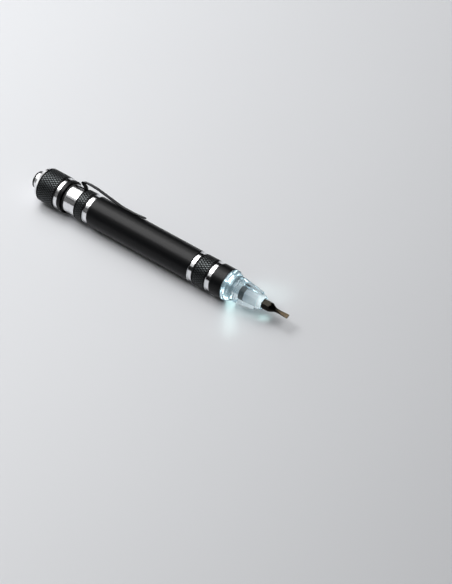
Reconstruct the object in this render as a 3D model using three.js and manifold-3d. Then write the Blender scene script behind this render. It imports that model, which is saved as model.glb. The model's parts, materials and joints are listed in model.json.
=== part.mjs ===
// A pen-shaped pocket screwdriver. Spare bits sit in a rack inside the barrel, a lit clear nose holds the
// bit in use, the tail cap holds a click switch, and a folded strip makes the pocket clip.
// Millimetres, +Z up. The pen lies along X with its bit at +X, and the origin is on the floor, below the
// middle of its length.
import * as THREE from "three";
import { mergeVertices } from "three/addons/utils/BufferGeometryUtils.js";
import Module from "manifold-3d";

const wasm = await Module();
wasm.setup();

// Bits
const BIT_FLATS = 4; // hex shank, across its flats
const SHANK_LENGTH = 12.5;
const TAPER_LENGTH = 1.8;
const SHAFT_LENGTH = 3;
const SHAFT_RADIUS = 1;
const TIP_LENGTH = 3.7;
const BLADE_WIDTH = 1.9; // the bit in use
const BLADE_THICKNESS = 0.45;
const BIT_ROLL = THREE.MathUtils.degToRad(15); // bit in use and its socket, -Y side down

// Rack in the barrel, and the contact rod down its middle
const ROD_RADIUS = 0.6;
const ROD_STUB = 3; // rod in front of the rack's boss
const CORE_WALL = 0.9; // between the rod and the bits
const RACK_LIP = 0.12; // rack beyond the bits' outermost corners
const RACK_WALL = 1; // across the rack, at both ends and between its two tiers
const BAY_GAP = 0.2; // at each end of a bit
const BITS_PER_TIER = 4;
const TIERS = 2;
const RACK_END_GAP = 0.3;

// Barrel and the turned rings at both ends
const BARREL_WALL = 1.01;
const GROOVE_WIDTH = 2.2; // bright cut grooves
const GROOVE_DEPTH = 0.45;
const RING_REAR_LENGTH = 5.4; // knurled ring behind the barrel
const RING_FRONT_LENGTH = 7.1; // knurled ring in front of the barrel
const NOSE_RING_LENGTH = 5.7; // smooth ring that holds the clear nose
const PLUG_LENGTH = 4; // rear collar inside the barrel
const FRONT_SPIGOT_LENGTH = 5; // front collar inside the barrel
const COLLAR_WALL = 1.4; // round the nose's plug
const COLLAR_LIP = 1.2; // lip that the rack's retainer catches
const COLLAR_TRAVEL = 5; // the front collar's thread
const NECK_STEP = 0.45; // bright neck below the barrel's surface
const NECK_LENGTH = 6;
const SPIGOT_STEP = 0.5; // threaded spigot below the neck
const SEAL_WIDTH = 1.3; // rubber ring between the tail cap and the neck
const RING_SECTION = 0.5; // round section of the front seal
const RING_SETBACK = 1.5; // front seal behind the barrel's front end
const SEAL_WALL = 0.5; // front collar under its seal

// Rack boss and its retainer
const RETAINER_THICKNESS = 0.8;
const RETAINER_BITE = 0.8; // retainer beyond the boss
const RETAINER_SEAT = 0.6; // groove in the boss
const RETAINER_OPENING = Math.PI / 3;
const BOSS_END = 0.8; // boss in front of its groove

// Tail cap, button and switch
const CAP_STEP = 0.75; // cap beyond the barrel's surface
const CAP_BEVEL = 1.3; // bright bevel along the axis
const CAP_BEVEL_DROP = 0.4; // and across it
const CAP_KNURL_LENGTH = 9.9;
const CAP_LIP_LENGTH = 1.4;
const CAP_LIP_STEP = 0.25; // smooth lip below the knurl
const CAP_END_WALL = 1.1;
const BUTTON_RADIUS = 4;
const BUTTON_PROUD = 4.3;
const BUTTON_EDGE = 0.2;
const BUTTON_TOP = 1.5; // thickness of its end
const BUTTON_WALL = 1;
const BUTTON_FLANGE = 0.8;
const BUTTON_LIP = 0.9; // flange beyond the button's side
const BUTTON_TRAVEL = 1.5;
const PLUNGER_RADIUS = 1;
const PLUNGER_REACH = 1; // into the switch, at rest
const SWITCH_LENGTH = 3.8;
const SWITCH_SKIRT = 0.7;
const SWITCH_RING = 1;
const TRAVEL_SPARE = 0.3;

// Cells and contacts
const CELL_RADIUS = 3.95;
const CELL_HEIGHT = 3.6;
const CELL_COUNT = 3;
const CELL_STEP = 0.3; // raised end of a cell
const CELL_SHOULDER = 0.75;
const SLEEVE_WALL = 0.5;
const SLEEVE_SETBACK = 0.3;
const GUIDE_BORE = 2.4;
const GUIDE_WALL = 1.5;
const PIN_RADIUS = 0.9;
const PIN_HEAD = 1;
const PIN_PROUD = 0.2;
const BATTERY_SPRING_LENGTH = 4.6;
const BATTERY_SPRING_RADIUS = 2.4;
const CONTACT_SPRING_RADIUS = 1.8;
const ROD_SPRING_RADIUS = 1.4;
const SPRING_WIRE = 0.4;
const SPRING_PITCH = 1.1;

// Clear nose, light and magnet
const SOCKET_DEPTH = 8.6;
const MAGNET_LENGTH = 2.4;
const NOSE_BACK = 6.6; // clear nose behind the magnet, in front of the collar
const NOSE_PLUG_LENGTH = 4;
const FLANGE_STEP = 0.1; // nose flange below the collar's surface
const FLANGE_LENGTH = 1.2;
const CONE_LENGTH = 3.6;
const NOSE_WALL = 1.9; // hex body at its front, from the socket's corners out
const NOSE_TAPER = 1.4; // hex body's corners, from front to back
const NOSE_TIP_WALL = 0.6;
const NOSE_TIP_LENGTH = 2.5;
const LED_RADIUS = 1.5;
const LED_HEIGHT = 4.5;
const LED_RIM = 0.25;
const LED_RIM_HEIGHT = 0.8;
const LED_COUNT = 3;
const POCKET_WALL = 0.35;
const POCKET_GAP = 0.2;
const BOARD_THICKNESS = 1;
const BOARD_GAP = 1.2; // between the board and the nose's plug
const RESISTOR = { length: 2, width: 1.2, height: 0.6, offset: 3 };

// Pocket clip
const CLIP_ROLL = THREE.MathUtils.degToRad(34); // from straight up, towards +Y
const CLIP_WIDTH = 2.7;
const CLIP_TIP_WIDTH = 2.3;
const CLIP_THICKNESS = 0.4;
const CLIP_RISE = 2.1; // middle of the strip above the barrel, at the fold
const CLIP_HUMP = 0.3; // highest point above the fold
const CLIP_HUMP_REACH = 5.4; // highest point in front of the fold
const CLIP_FOLD_RADIUS = 0.45;
const CLIP_LEG_REACH = 2; // from the foot back to the fold
const CLIP_KNEE = 0.55; // knee above the neck
const CLIP_FOOT_SETBACK = 1.2; // behind the knurled ring
const CLIP_FOOT_DEPTH = 0.7; // foot in the neck's slot
const CLIP_SLOT_GAP = 0.3;
const CLIP_BEND_GAP = 0.15; // between the fold and the arm
const CLIP_CONTACT_REACH = 21.8; // from the fold to where the arm meets the barrel
const CLIP_CONTACT_GAP = 0.08;
const CLIP_FLARE_REACH = 28.4; // from the fold to where it leaves the barrel
const CLIP_FLARE = 0.5; // tip above the point of contact
const CLIP_LENGTH = 35; // from the fold to the tip

// Clearances and mesh steps
const PRESS_GAP = 0.05; // round pieces that are pressed together
const RUN_GAP = 0.1; // round pieces that slide or turn
const SEAT_GAP = 0.05; // between end faces
const BIT_GAP = 0.1; // round a bit
const THREAD_END_GAP = 0.2;
const JOIN = 0.2; // how far joined shapes reach into each other
const SHELL_SIDES = 48;
const CORE_SIDES = 24;
const FINE_SIDES = 12;

// Radii, from the rod outwards
const rodBore = ROD_RADIUS + PRESS_GAP;
const rackCore = rodBore + CORE_WALL;
const bitCircle = rackCore + BIT_GAP + BIT_FLATS / 2;
const halfFlat = (BIT_FLATS / 2) * Math.tan(Math.PI / 6);
const rackRadius = Math.hypot(bitCircle + BIT_FLATS / 2, halfFlat) + RACK_LIP;
const barrelBore = rackRadius + RUN_GAP;
const bodyRadius = barrelBore + BARREL_WALL;
const grooveRadius = bodyRadius - GROOVE_DEPTH;
const neckRadius = bodyRadius - NECK_STEP;
const threadRadius = neckRadius - SPIGOT_STEP;
const capRadius = bodyRadius + CAP_STEP;
const axisHeight = capRadius * Math.cos(Math.PI / SHELL_SIDES);
const threadBore = threadRadius + RUN_GAP;
const flangeRadius = BUTTON_RADIUS + BUTTON_LIP;
const skirtBore = flangeRadius + RUN_GAP;
const switchRadius = skirtBore + SWITCH_SKIRT;
const sleeveBore = CELL_RADIUS + RUN_GAP;
const sleeveRadius = sleeveBore + SLEEVE_WALL;
const collarBore = sleeveRadius + PRESS_GAP;
const spigotRadius = barrelBore - RUN_GAP;
const sealRadius = barrelBore - PRESS_GAP;
const sealFloor = sealRadius - 2 * RING_SECTION - PRESS_GAP;
const frontBore = sealFloor - SEAL_WALL;
const retainerRadius = frontBore - RUN_GAP;
const bossRadius = retainerRadius - RETAINER_BITE;
const nosePlugBore = bodyRadius - COLLAR_WALL;
const nosePlugRadius = nosePlugBore - PRESS_GAP;
const pocketRadius = LED_RADIUS + RUN_GAP;
const ledCircle = nosePlugRadius - POCKET_WALL - pocketRadius;
const hexCorner = 1 / Math.cos(Math.PI / 6); // corner radius of a hexagon, over half its flats
const socketCorner = (BIT_FLATS / 2 + BIT_GAP) * hexCorner;
const noseFrontCorner = socketCorner + NOSE_WALL;
const noseRootCorner = noseFrontCorner + NOSE_TAPER;

// Stations along the pen, from the button's end face
const capRear = BUTTON_PROUD;
const capKnurl = capRear + CAP_BEVEL;
const capGroove = capKnurl + CAP_KNURL_LENGTH;
const capLip = capGroove + GROOVE_WIDTH;
const capFront = capLip + CAP_LIP_LENGTH;
const capInside = capRear + CAP_END_WALL;
const buttonFlangeRear = capInside + SEAT_GAP;
const buttonFront = buttonFlangeRear + BUTTON_FLANGE;
const switchRear = buttonFront + BUTTON_TRAVEL + TRAVEL_SPARE;
const switchFront = switchRear + SWITCH_LENGTH;
const switchRingRear = switchFront + SEAT_GAP;
const switchRingFront = switchRingRear + SWITCH_RING;
const spigotRear = switchRingFront + THREAD_END_GAP;
const cellRear = switchFront + BATTERY_SPRING_LENGTH;
const cellStep = CELL_HEIGHT + SEAT_GAP;
const cellFront = cellRear + CELL_COUNT * cellStep;
const neckRear = capFront + SEAL_WIDTH;
const ringRear = neckRear + NECK_LENGTH;
const rearGroove = ringRear + RING_REAR_LENGTH;
const barrelRear = rearGroove + GROOVE_WIDTH;
const plugFront = barrelRear + PLUG_LENGTH;
const rackRear = plugFront + RACK_END_GAP;
const bitLength = SHANK_LENGTH + TAPER_LENGTH + SHAFT_LENGTH + TIP_LENGTH;
const bayLength = bitLength + 2 * BAY_GAP;
const tierStep = bayLength + RACK_WALL;
const rackFront = rackRear + TIERS * tierStep + RACK_WALL;
const collarRear = rackFront + RACK_END_GAP;
const barrelFront = collarRear + FRONT_SPIGOT_LENGTH;
const ringFront = barrelFront + GROOVE_WIDTH;
const frontGroove = ringFront + RING_FRONT_LENGTH;
const noseRing = frontGroove + GROOVE_WIDTH;
const noseRear = noseRing + NOSE_RING_LENGTH;
const nosePlugRear = noseRear - NOSE_PLUG_LENGTH;
const boardFront = nosePlugRear - BOARD_GAP;
const boardRear = boardFront - BOARD_THICKNESS;
const boardShoulder = boardRear - SEAT_GAP;
const lipFront = collarRear + COLLAR_LIP;
const retainerRear = lipFront + COLLAR_TRAVEL + TRAVEL_SPARE;
const retainerFront = retainerRear + RETAINER_THICKNESS;
const bossFront = retainerFront + SEAT_GAP + BOSS_END;
const socketFloor = noseRear + NOSE_BACK;
const magnetRear = socketFloor + SEAT_GAP;
const bitRear = magnetRear + MAGNET_LENGTH + SEAT_GAP;
const noseFront = bitRear + SOCKET_DEPTH;
const bitFront = bitRear + bitLength;
const clipFoot = ringRear - CLIP_FOOT_SETBACK;
const clipFold = clipFoot - CLIP_LEG_REACH;

// A closed mesh as a solid that can be joined and cut
function solid(geometry) {
  const bare = new THREE.BufferGeometry();
  bare.setAttribute("position", geometry.getAttribute("position"));
  bare.setIndex(geometry.getIndex());
  const merged = mergeVertices(bare);
  return new wasm.Manifold(
    new wasm.Mesh({
      numProp: 3,
      vertProperties: merged.getAttribute("position").array,
      triVerts: new Uint32Array(merged.getIndex().array),
    }),
  );
}

function geometryOf(made) {
  const mesh = made.getMesh();
  const geometry = new THREE.BufferGeometry();
  geometry.setAttribute("position", new THREE.BufferAttribute(mesh.vertProperties, 3));
  geometry.setIndex(new THREE.BufferAttribute(mesh.triVerts, 1));
  geometry.computeVertexNormals();
  return geometry;
}

function joined(...pieces) {
  return geometryOf(pieces.map(solid).reduce((whole, piece) => whole.add(piece)));
}

function cut(piece, ...tools) {
  return geometryOf(tools.map(solid).reduce((rest, tool) => rest.subtract(tool), solid(piece)));
}

function shared(piece, other) {
  return geometryOf(solid(piece).intersect(solid(other)));
}

// A turned piece about X from an outline of [station, radius] points, with one flat facing straight down
function turned(outline, sides) {
  const points = outline.map(([station, radius]) => new THREE.Vector2(radius, station));
  if (THREE.ShapeUtils.area(points) < 0) points.reverse();
  const startsOnAxis = points[0].x === 0 && points.at(-1).x === 0;
  if (!startsOnAxis) points.push(points[0].clone());
  return new THREE.LatheGeometry(points, sides, Math.PI / sides).rotateZ(-Math.PI / 2);
}

// A plain ring between two stations
function tube(rear, front, bore, radius, sides) {
  const outline = [
    [rear, bore],
    [rear, radius],
    [front, radius],
    [front, bore],
  ];
  return turned(outline, sides);
}

// A straight or tapered bar along X
function bar(rear, length, rearRadius, frontRadius, sides) {
  const geometry = new THREE.CylinderGeometry(frontRadius, rearRadius, length, sides);
  return geometry.rotateZ(-Math.PI / 2).translate(rear + length / 2, 0, 0);
}

// A box along X whose height and width change from its rear to its front
function wedge(rear, length, [rearWidth, rearHeight], [frontWidth, frontHeight]) {
  const geometry = new THREE.BoxGeometry(length, 1, 1);
  const corners = geometry.getAttribute("position");
  for (let i = 0; i < corners.count; i++) {
    const atFront = corners.getX(i) > 0;
    corners.setY(i, corners.getY(i) * (atFront ? frontWidth : rearWidth));
    corners.setZ(i, corners.getZ(i) * (atFront ? frontHeight : rearHeight));
  }
  return geometry.translate(rear + length / 2, 0, 0);
}

// A flat outline in Y and Z, pushed along X
function pushed(shape, rear, length, curveSegments) {
  const geometry = new THREE.ExtrudeGeometry(shape, { depth: length, bevelEnabled: false, curveSegments });
  const toYZ = new THREE.Matrix4().makeBasis(
    new THREE.Vector3(0, 1, 0),
    new THREE.Vector3(0, 0, 1),
    new THREE.Vector3(1, 0, 0),
  );
  return geometry.applyMatrix4(toYZ).translate(rear, 0, 0);
}

// A coil spring about X: one unbroken wire, whose least gap between turns is printed
function coil(name, rear, front, radius) {
  const stepsPerTurn = 8;
  const wireSides = 5;
  const rise = front - rear - SPRING_WIRE;
  const turns = rise / SPRING_PITCH;
  const steps = Math.ceil(turns * stepsPerTurn);
  const positions = [];
  const faces = [];
  const centres = [];
  for (let i = 0; i <= steps; i++) {
    const angle = (i / steps) * turns * 2 * Math.PI;
    const outward = new THREE.Vector3(0, Math.cos(angle), Math.sin(angle));
    const station = rear + SPRING_WIRE / 2 + (i / steps) * rise;
    const centre = outward.clone().multiplyScalar(radius).setX(station);
    centres.push(centre);
    for (let side = 0; side < wireSides; side++) {
      const around = (side / wireSides) * 2 * Math.PI;
      const point = outward.clone().multiplyScalar(Math.cos(around)).setX(Math.sin(around));
      positions.push(...point.multiplyScalar(SPRING_WIRE / 2).add(centre).toArray());
    }
  }
  for (let i = 0; i < steps; i++) {
    for (let side = 0; side < wireSides; side++) {
      const a = i * wireSides + side;
      const b = i * wireSides + ((side + 1) % wireSides);
      faces.push(a, a + wireSides, b, b, a + wireSides, b + wireSides);
    }
  }
  const last = steps * wireSides;
  for (let side = 1; side < wireSides - 1; side++) {
    faces.push(0, side, side + 1);
    faces.push(last, last + side + 1, last + side);
  }
  let least = Infinity;
  centres.forEach((centre, i) =>
    centres.slice(i + stepsPerTurn / 2).forEach((other) => {
      least = Math.min(least, centre.distanceTo(other) - SPRING_WIRE);
    }),
  );
  console.log(name + " least gap " + least.toFixed(2) + " mm");
  const geometry = new THREE.BufferGeometry();
  geometry.setAttribute("position", new THREE.Float32BufferAttribute(positions, 3));
  geometry.setIndex(faces);
  geometry.computeVertexNormals();
  return geometry;
}

// A bent strip: its middle line as [station, radius] points, made a band of the clip's thickness and width
function strip(middle, endWidth) {
  const points = middle.map(([station, radius]) => new THREE.Vector2(station, radius));
  const half = CLIP_THICKNESS / 2;
  const side = (sign) =>
    points.map((point, i) => {
      const before = point.clone().sub(points[Math.max(i - 1, 0)]);
      const after = points[Math.min(i + 1, points.length - 1)].clone().sub(point);
      const into = (before.lengthSq() ? before : after).clone().normalize();
      const out = (after.lengthSq() ? after : before).clone().normalize();
      const normal = new THREE.Vector2(-into.y - out.y, into.x + out.x).normalize();
      const reach = half / (normal.x * -into.y + normal.y * into.x);
      return point.clone().addScaledVector(normal, sign * reach);
    });
  const shape = new THREE.Shape([...side(1), ...side(-1).reverse()]);
  const geometry = new THREE.ExtrudeGeometry(shape, { depth: CLIP_WIDTH, bevelEnabled: false });
  geometry.translate(0, 0, -CLIP_WIDTH / 2);
  const [start, end] = [points[0].x, points[points.length - 1].x];
  const spots = geometry.getAttribute("position");
  for (let i = 0; i < spots.count; i++) {
    const along = (spots.getX(i) - start) / (end - start);
    spots.setZ(i, spots.getZ(i) * THREE.MathUtils.lerp(1, endWidth / CLIP_WIDTH, along));
  }
  return geometry.rotateX(Math.PI / 2);
}

// Bits: a hex shank, a taper, a round shaft and the given tip
const tipRear = SHANK_LENGTH + TAPER_LENGTH + SHAFT_LENGTH;

function bladeTip(width, thickness) {
  const root = 2 * SHAFT_RADIUS * Math.SQRT1_2;
  return wedge(tipRear - JOIN, TIP_LENGTH + JOIN, [root, root], [width, thickness]);
}

function crossTip(pointRadius, wing) {
  const cone = bar(tipRear - JOIN, TIP_LENGTH + JOIN, SHAFT_RADIUS, pointRadius, FINE_SIDES);
  const across = 2 * SHAFT_RADIUS;
  const flat = wedge(tipRear - JOIN, TIP_LENGTH + JOIN, [across, wing], [across, wing]);
  const upright = wedge(tipRear - JOIN, TIP_LENGTH + JOIN, [wing, across], [wing, across]);
  return shared(cone, joined(flat, upright));
}

function starTip(radius) {
  const lobes = 6;
  const stepsPerLobe = 6;
  const depth = 0.14; // lobes in and out of the mean radius
  const points = [];
  for (let i = 0; i < lobes * stepsPerLobe; i++) {
    const angle = (i / (lobes * stepsPerLobe)) * 2 * Math.PI;
    const reach = radius * (1 + depth * Math.cos(lobes * angle)) / (1 + depth);
    points.push(new THREE.Vector2(reach * Math.cos(angle), reach * Math.sin(angle)));
  }
  return pushed(new THREE.Shape(points), tipRear - JOIN, TIP_LENGTH + JOIN);
}

function hexTip(flats) {
  const corner = (flats / 2) * hexCorner;
  return bar(tipRear - JOIN, TIP_LENGTH + JOIN, corner, corner, 6);
}

function bit(tip) {
  const corner = (BIT_FLATS / 2) * hexCorner;
  const shank = bar(0, SHANK_LENGTH, corner, corner, 6).rotateX(Math.PI / 6);
  const taper = bar(SHANK_LENGTH - JOIN, TAPER_LENGTH + JOIN, BIT_FLATS / 2, SHAFT_RADIUS, FINE_SIDES);
  const shaftRear = SHANK_LENGTH + TAPER_LENGTH - JOIN;
  const shaft = bar(shaftRear, SHAFT_LENGTH + JOIN, SHAFT_RADIUS, SHAFT_RADIUS, FINE_SIDES);
  return joined(shank, taper, shaft, tip);
}

// Finishes: colour, roughness and metalness
const finishes = {
  blackAnodised: [0x17181a, 0.42, 0.6],
  polished: [0xe6e7e9, 0.12, 1],
  clipSteel: [0x2b2d30, 0.35, 0.9],
  clearPlastic: [0xdff1f5, 0.08, 0],
  bitSteel: [0x2a2521, 0.38, 0.9],
  springSteel: [0xa9adb2, 0.3, 1],
  cellSteel: [0xc9cbcc, 0.25, 1],
  brass: [0xb8924a, 0.3, 1],
  rubber: [0x0e0e0f, 0.85, 0],
  blackPlastic: [0x1b1c1e, 0.6, 0],
  greyPlastic: [0x8f9397, 0.55, 0],
  board: [0xe9ecea, 0.5, 0],
  lamp: [0xeafcff, 0.1, 0],
  magnet: [0x3a3b3e, 0.4, 0.8],
};

const part = new THREE.Group();
const pen = new THREE.Group();
pen.position.set(-bitFront / 2, 0, axisHeight);
part.add(pen);

function add(name, geometry, finish, group = pen) {
  const [color, roughness, metalness] = finishes[finish];
  const mesh = new THREE.Mesh(geometry, new THREE.MeshStandardMaterial({ color, roughness, metalness }));
  mesh.name = name;
  group.add(mesh);
  return mesh;
}

// Tail cap, switch and button
function addTail() {
  const buttonHole = BUTTON_RADIUS + RUN_GAP;
  const switchBore = switchRadius + RUN_GAP;
  const capOutline = [
    [capRear, buttonHole],
    [capRear, capRadius - CAP_BEVEL_DROP],
    [capKnurl, capRadius],
    [capGroove, capRadius],
    [capGroove, capRadius - GROOVE_DEPTH],
    [capLip, capRadius - GROOVE_DEPTH],
    [capLip, capRadius - CAP_LIP_STEP],
    [capFront, capRadius - CAP_LIP_STEP],
    [capFront, threadBore],
    [switchFront, threadBore],
    [switchFront, switchBore],
    [capInside, switchBore],
    [capInside, buttonHole],
  ];
  add("tail_cap", turned(capOutline, SHELL_SIDES), "blackAnodised");

  const buttonBore = BUTTON_RADIUS - BUTTON_WALL;
  const buttonOutline = [
    [0, 0],
    [0, BUTTON_RADIUS - BUTTON_EDGE],
    [BUTTON_EDGE, BUTTON_RADIUS],
    [buttonFlangeRear, BUTTON_RADIUS],
    [buttonFlangeRear, flangeRadius],
    [buttonFront, flangeRadius],
    [buttonFront, buttonBore],
    [BUTTON_TOP, buttonBore],
    [BUTTON_TOP, 0],
  ];
  add("tail_button", turned(buttonOutline, CORE_SIDES), "polished");

  const plungerRear = BUTTON_TOP + SEAT_GAP;
  const plungerLength = switchRear + PLUNGER_REACH - plungerRear;
  const plunger = bar(plungerRear, plungerLength, PLUNGER_RADIUS, PLUNGER_RADIUS, FINE_SIDES);
  add("switch_plunger", plunger, "greyPlastic");
  const buttonSpringRadius = (PLUNGER_RADIUS + buttonBore) / 2;
  const buttonSpring = coil("button_spring", plungerRear, switchRear - SEAT_GAP, buttonSpringRadius);
  add("button_spring", buttonSpring, "springSteel");

  const plungerBore = PLUNGER_RADIUS + RUN_GAP;
  const switchOutline = [
    [buttonFlangeRear, skirtBore],
    [buttonFlangeRear, switchRadius],
    [switchFront, switchRadius],
    [switchFront, plungerBore],
    [switchRear, plungerBore],
    [switchRear, skirtBore],
  ];
  add("switch_housing", turned(switchOutline, CORE_SIDES), "blackPlastic");
  const switchRing = tube(switchRingRear, switchRingFront, sleeveBore, threadBore - PRESS_GAP, SHELL_SIDES);
  add("switch_ring", switchRing, "brass");
}

// Cells, their sleeve and the spring contacts at both ends
function addCells() {
  const springRear = switchFront + SEAT_GAP;
  const batterySpring = coil("battery_spring", springRear, cellRear - SEAT_GAP, BATTERY_SPRING_RADIUS);
  add("battery_spring", batterySpring, "springSteel");
  const shoulder = CELL_RADIUS - CELL_SHOULDER;
  for (let i = 0; i < CELL_COUNT; i++) {
    const rear = cellRear + i * cellStep;
    const outline = [
      [rear, 0],
      [rear, shoulder],
      [rear + CELL_STEP, shoulder],
      [rear + 2 * CELL_STEP, CELL_RADIUS],
      [rear + CELL_HEIGHT, CELL_RADIUS],
      [rear + CELL_HEIGHT, 0],
    ];
    add("cell_" + (i + 1), turned(outline, CORE_SIDES), "cellSteel");
  }
  const sleeve = tube(spigotRear + SLEEVE_SETBACK, cellFront, sleeveBore, sleeveRadius, CORE_SIDES);
  add("cell_sleeve", sleeve, "greyPlastic");

  const guideRear = cellFront + SEAT_GAP;
  const guideSeat = plugFront - GUIDE_WALL;
  const pinHole = PIN_RADIUS + RUN_GAP;
  const guideOutline = [
    [guideRear, GUIDE_BORE],
    [guideRear, sleeveRadius],
    [plugFront, sleeveRadius],
    [plugFront, pinHole],
    [guideSeat, pinHole],
    [guideSeat, GUIDE_BORE],
  ];
  add("contact_guide", turned(guideOutline, CORE_SIDES), "greyPlastic");
  const headFront = guideSeat - SEAT_GAP;
  const headRear = headFront - PIN_HEAD;
  const pinOutline = [
    [headRear, 0],
    [headRear, GUIDE_BORE - RUN_GAP],
    [headFront, GUIDE_BORE - RUN_GAP],
    [headFront, PIN_RADIUS],
    [plugFront + PIN_PROUD, PIN_RADIUS],
    [plugFront + PIN_PROUD, 0],
  ];
  add("contact_pin", turned(pinOutline, FINE_SIDES), "brass");
  const contactSpring = coil("contact_spring", guideRear, headRear - SEAT_GAP, CONTACT_SPRING_RADIUS);
  add("contact_spring", contactSpring, "springSteel");
}

// Rear collar with its neck, seal and knurled ring, and the barrel that it plugs into
function addBody() {
  const outline = [
    [spigotRear, collarBore],
    [spigotRear, threadRadius],
    [neckRear, threadRadius],
    [neckRear, neckRadius],
    [ringRear, neckRadius],
    [ringRear, bodyRadius],
    [rearGroove, bodyRadius],
    [rearGroove, grooveRadius],
    [barrelRear, grooveRadius],
    [barrelRear, barrelBore - PRESS_GAP],
    [plugFront, barrelBore - PRESS_GAP],
    [plugFront, collarBore],
  ];
  const slotLength = CLIP_THICKNESS + 2 * CLIP_SLOT_GAP;
  const slotDepth = CLIP_FOOT_DEPTH + CLIP_SLOT_GAP;
  const slot = new THREE.BoxGeometry(slotLength, CLIP_WIDTH + 2 * CLIP_SLOT_GAP, 2 * slotDepth);
  slot.translate(clipFoot, 0, neckRadius).rotateX(-CLIP_ROLL);
  add("rear_collar", cut(turned(outline, SHELL_SIDES), slot), "blackAnodised");
  const sealBore = threadRadius + PRESS_GAP;
  const seal = tube(capFront + SEAT_GAP, neckRear - SEAT_GAP, sealBore, neckRadius, SHELL_SIDES);
  add("tail_seal", seal, "rubber");
  add("barrel", tube(barrelRear, barrelFront, barrelBore, bodyRadius, SHELL_SIDES), "blackAnodised");
}

// Pocket clip: the folded root is held in the neck's slot, and the arm springs from the fold
function addClip() {
  const clip = new THREE.Group();
  clip.rotation.x = -CLIP_ROLL;
  pen.add(clip);
  const foldRadius = bodyRadius + CLIP_RISE;
  const foldSteps = 8;
  const root = [];
  for (let i = 0; i <= foldSteps; i++) {
    const angle = (i / foldSteps) * Math.PI;
    const station = clipFold - CLIP_FOLD_RADIUS * Math.sin(angle);
    root.push([station, foldRadius - CLIP_FOLD_RADIUS * (1 - Math.cos(angle))]);
  }
  root.push([clipFoot, neckRadius + CLIP_KNEE]);
  root.push([clipFoot, neckRadius - CLIP_FOOT_DEPTH]);
  add("clip_root", strip(root, CLIP_WIDTH), "clipSteel", clip);

  const contactRadius = bodyRadius + CLIP_CONTACT_GAP + CLIP_THICKNESS / 2;
  const arm = [
    [clipFold + CLIP_BEND_GAP, foldRadius],
    [clipFold + CLIP_HUMP_REACH, foldRadius + CLIP_HUMP],
    [clipFold + CLIP_CONTACT_REACH, contactRadius],
    [clipFold + CLIP_FLARE_REACH, contactRadius],
    [clipFold + CLIP_LENGTH, contactRadius + CLIP_FLARE],
  ];
  add("clip_arm", strip(arm, CLIP_TIP_WIDTH), "clipSteel", clip);
}

// Bit rack with its boss, retainer, contact rod and the spare bits
function addRack() {
  const retainerFloor = bossRadius - RETAINER_SEAT;
  const grooveEnd = retainerFront + SEAT_GAP;
  const outline = [
    [rackRear, rodBore],
    [rackRear, rackRadius],
    [rackFront, rackRadius],
    [rackFront, bossRadius],
    [retainerRear - SEAT_GAP, bossRadius],
    [retainerRear - SEAT_GAP, retainerFloor],
    [grooveEnd, retainerFloor],
    [grooveEnd, bossRadius],
    [bossFront, bossRadius],
    [bossFront, rodBore],
  ];
  const halfBay = BIT_FLATS / 2 + BIT_GAP;
  const bayShape = new THREE.Shape();
  bayShape.moveTo(-halfBay * Math.tan(Math.PI / 6), bitCircle - halfBay);
  bayShape.lineTo(halfBay * Math.tan(Math.PI / 6), bitCircle - halfBay);
  bayShape.lineTo(halfBay * hexCorner, bitCircle);
  bayShape.lineTo(halfBay * hexCorner, rackRadius + JOIN);
  bayShape.lineTo(-halfBay * hexCorner, rackRadius + JOIN);
  bayShape.lineTo(-halfBay * hexCorner, bitCircle);
  bayShape.closePath();
  const spareBits = [
    ["bit_slotted_2", bladeTip(2, 0.4)],
    ["bit_slotted_3", bladeTip(3, 0.5)],
    ["bit_cross_000", crossTip(0.2, 0.45)],
    ["bit_cross_00", crossTip(0.3, 0.6)],
    ["bit_cross_1", crossTip(0.45, 0.8)],
    ["bit_star_6", starTip(0.86)],
    ["bit_star_8", starTip(0.98)],
    ["bit_hex_1_5", hexTip(1.5)],
  ];
  const bays = [];
  for (let tier = 0; tier < TIERS; tier++) {
    const bayRear = rackRear + RACK_WALL + tier * tierStep;
    for (let place = 0; place < BITS_PER_TIER; place++) {
      const angle = (place / BITS_PER_TIER) * 2 * Math.PI;
      bays.push(pushed(bayShape, bayRear, bayLength).rotateX(angle));
      const holder = new THREE.Group();
      holder.rotation.x = angle;
      pen.add(holder);
      const [name, tip] = spareBits[tier * BITS_PER_TIER + place];
      add(name, bit(tip), "bitSteel", holder).position.set(bayRear + BAY_GAP, 0, bitCircle);
    }
  }
  add("bit_rack", cut(turned(outline, CORE_SIDES), ...bays), "greyPlastic");

  const retainer = new THREE.Shape();
  const openFrom = RETAINER_OPENING / 2;
  const openTo = 2 * Math.PI - openFrom;
  retainer.absarc(0, 0, retainerRadius, openFrom, openTo, false);
  retainer.absarc(0, 0, retainerFloor + PRESS_GAP, openTo, openFrom, true);
  add("rack_retainer", pushed(retainer, retainerRear, RETAINER_THICKNESS, CORE_SIDES / 2), "springSteel");
  const rod = bar(rackRear, bossFront + ROD_STUB - rackRear, ROD_RADIUS, ROD_RADIUS, FINE_SIDES);
  add("contact_rod", rod, "brass");
  const rodSpring = coil("rod_spring", bossFront + SEAT_GAP, boardRear - SEAT_GAP, ROD_SPRING_RADIUS);
  add("rod_spring", rodSpring, "springSteel");
}

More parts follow.
